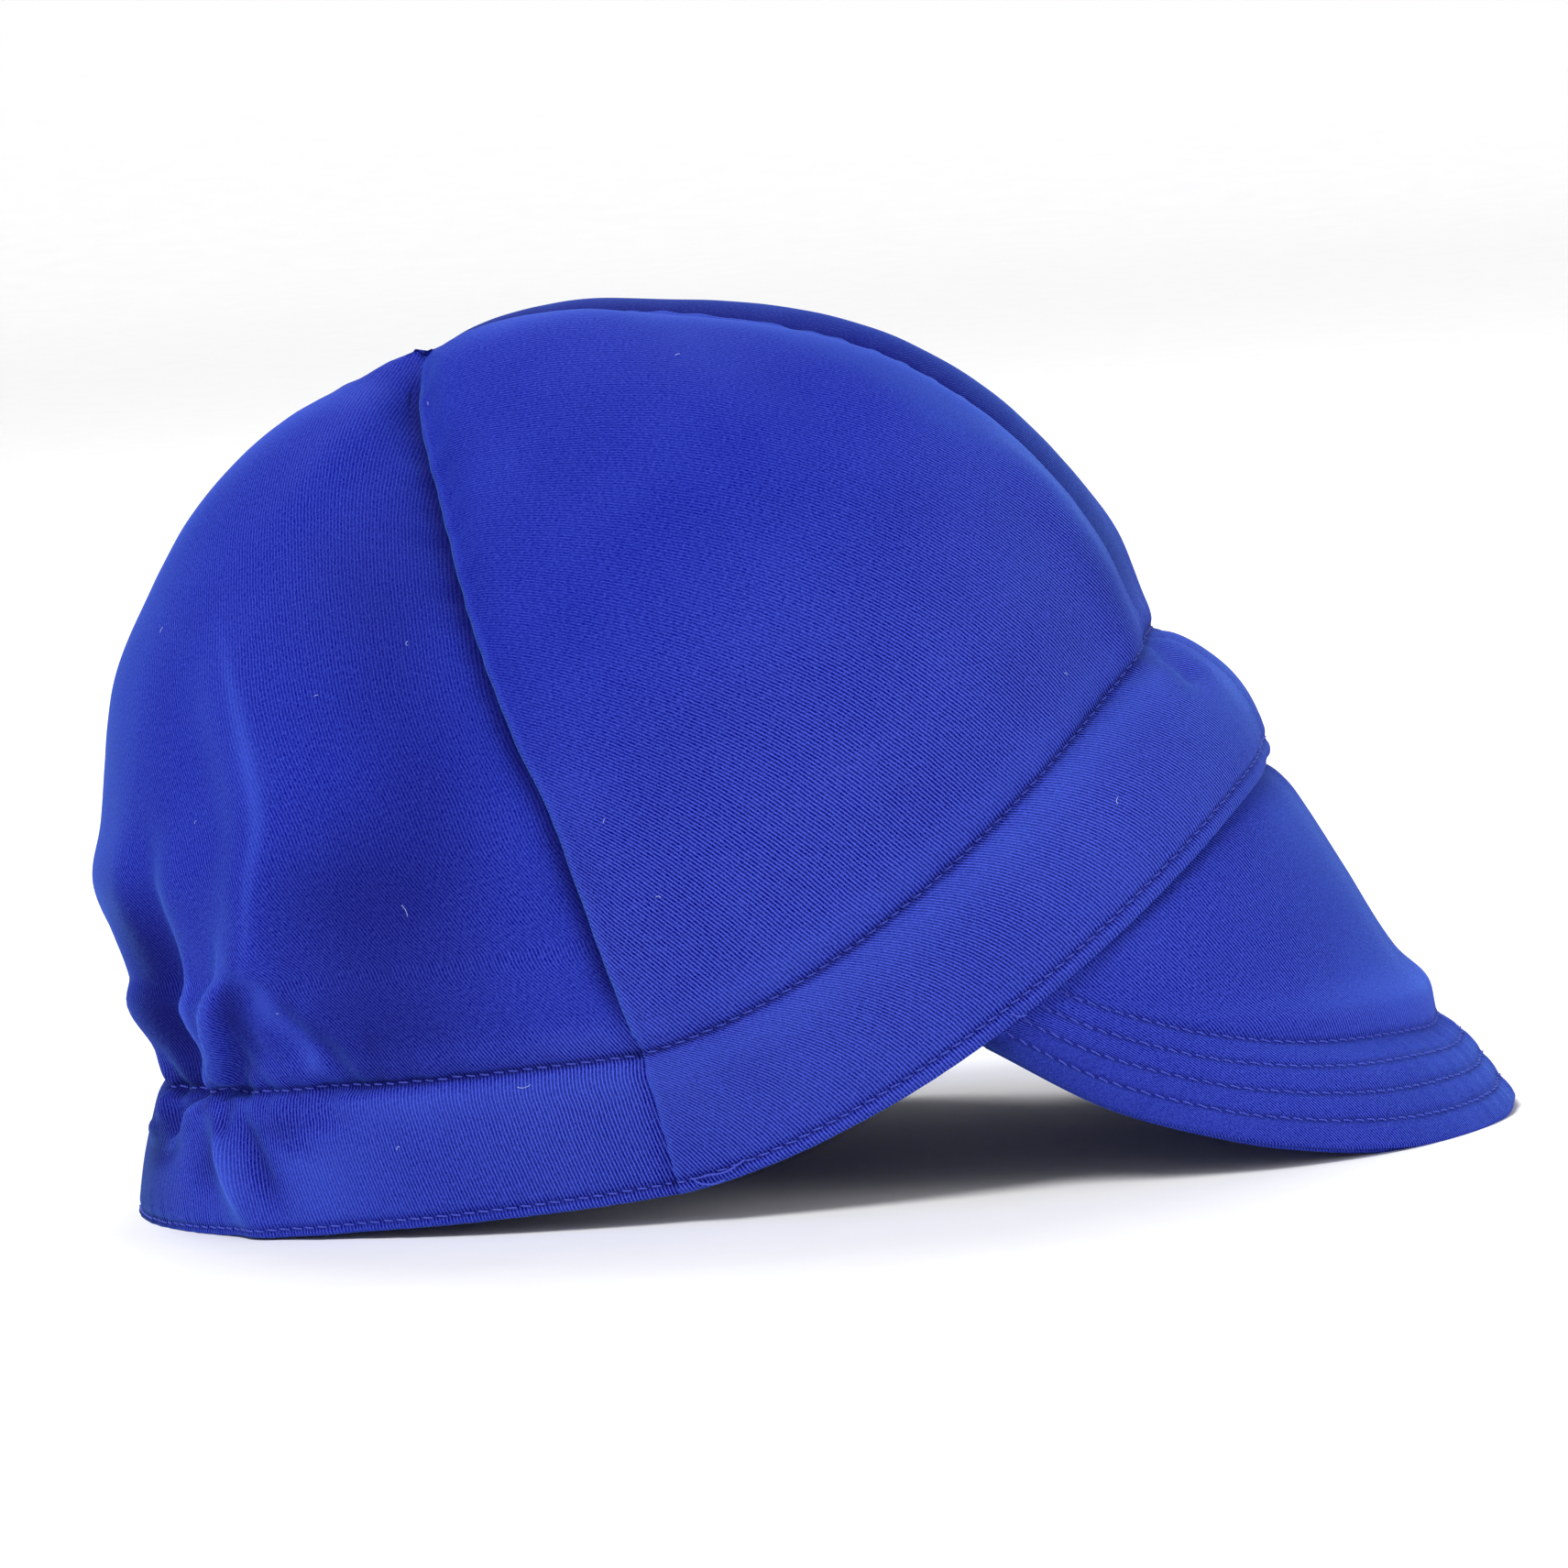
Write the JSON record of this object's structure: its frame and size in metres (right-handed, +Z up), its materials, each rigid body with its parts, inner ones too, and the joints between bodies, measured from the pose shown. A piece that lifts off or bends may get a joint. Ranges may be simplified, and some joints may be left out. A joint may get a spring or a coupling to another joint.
{
  "type": "welding cap",
  "caption": "Soft cotton twill welder's cap: panelled round crown, doubled topstitched hem gathered at the back, and a short soft downturned peak.",
  "frame": {"origin": "under the middle of the whole cap, on the surface it rests on", "axes": "+X towards the peak, +Y to the wearer's left, +Z up"},
  "size_m": [0.2436, 0.164, 0.1517],
  "materials": {
    "crown_twill": "royal blue cotton twill with a satin sheen, unworn",
    "peak_twill": "royal blue cotton twill with a satin sheen, in rows of topstitching"
  },
  "bodies": {
    "root": {"front_panel_right": "crown_twill", "front_panel_left": "crown_twill", "back_panel_right": "crown_twill", "back_panel_left": "crown_twill", "peak_top": "peak_twill", "peak_under": "peak_twill"}
  },
  "joints": []
}
